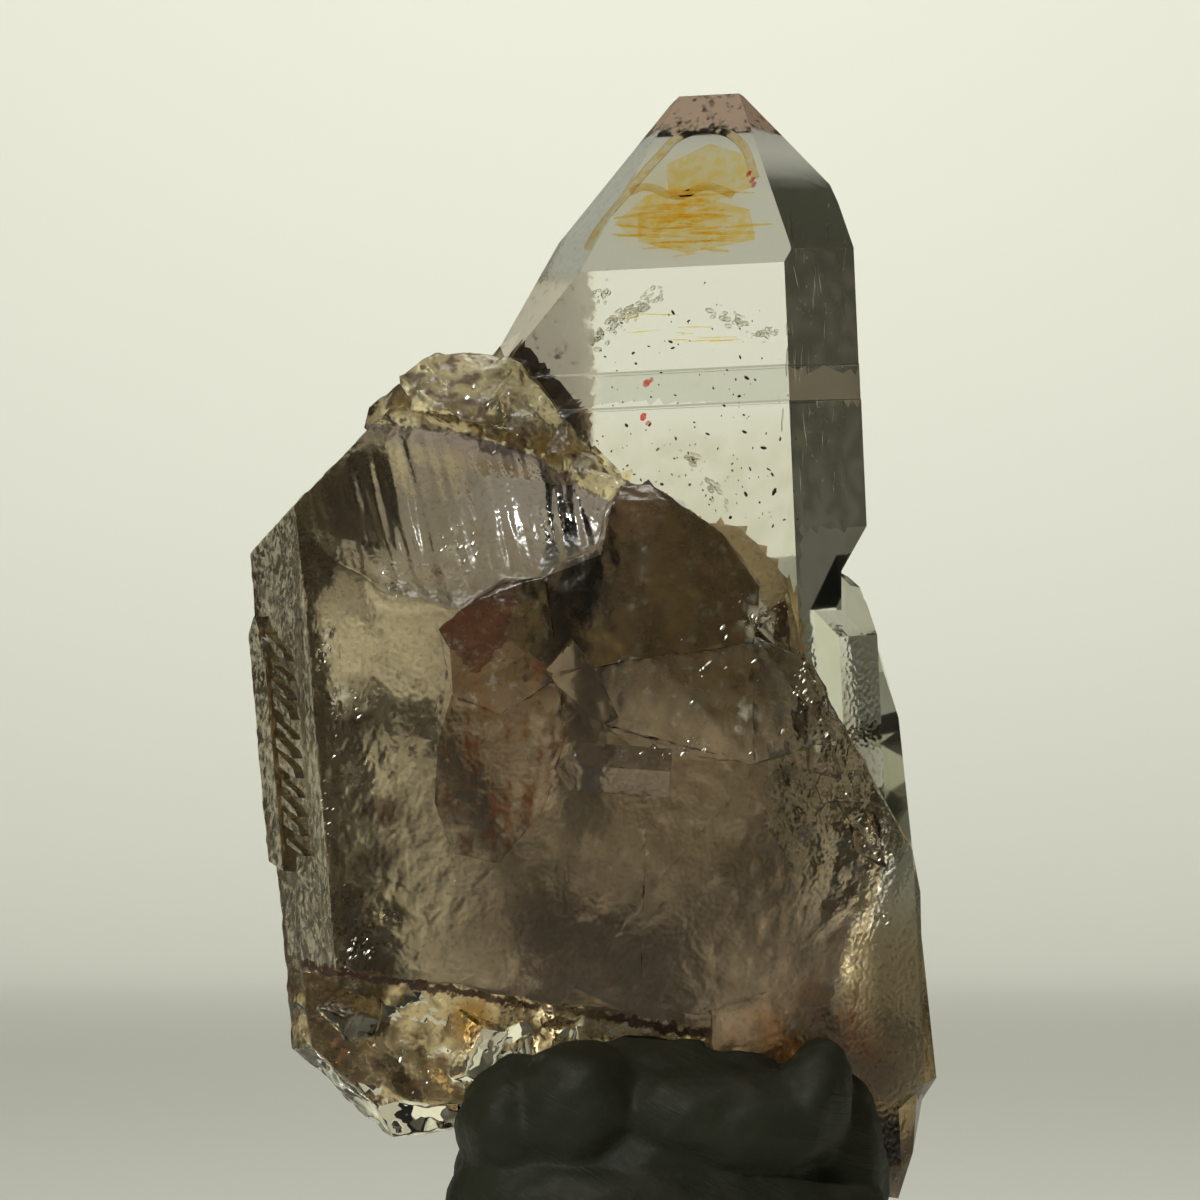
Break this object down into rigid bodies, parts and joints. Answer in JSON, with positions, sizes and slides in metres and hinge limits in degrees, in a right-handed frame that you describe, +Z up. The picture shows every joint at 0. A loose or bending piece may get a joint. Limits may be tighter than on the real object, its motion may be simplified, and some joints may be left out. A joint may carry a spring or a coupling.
{
  "type": "amethyst cluster",
  "caption": "Natural quartz crystal cluster with a tall clear point beside a broad smoky-lilac broken crystal, standing in a lump of soft mounting putty for display.",
  "frame": {"origin": "on the surface that the putty stands on, under the middle of the bounding box", "axes": "+Z up along the tall point, -Y towards the viewer of the picture, +X to the viewer's right"},
  "size_m": [0.0428, 0.034, 0.0724],
  "materials": {
    "quartz": "clear to smoky natural crystal with broken, stained and frosted areas",
    "putty": "matt, hand-pressed"
  },
  "bodies": {
    "root": {"amethyst_cluster": "quartz", "putty_stand": "putty"}
  },
  "joints": []
}
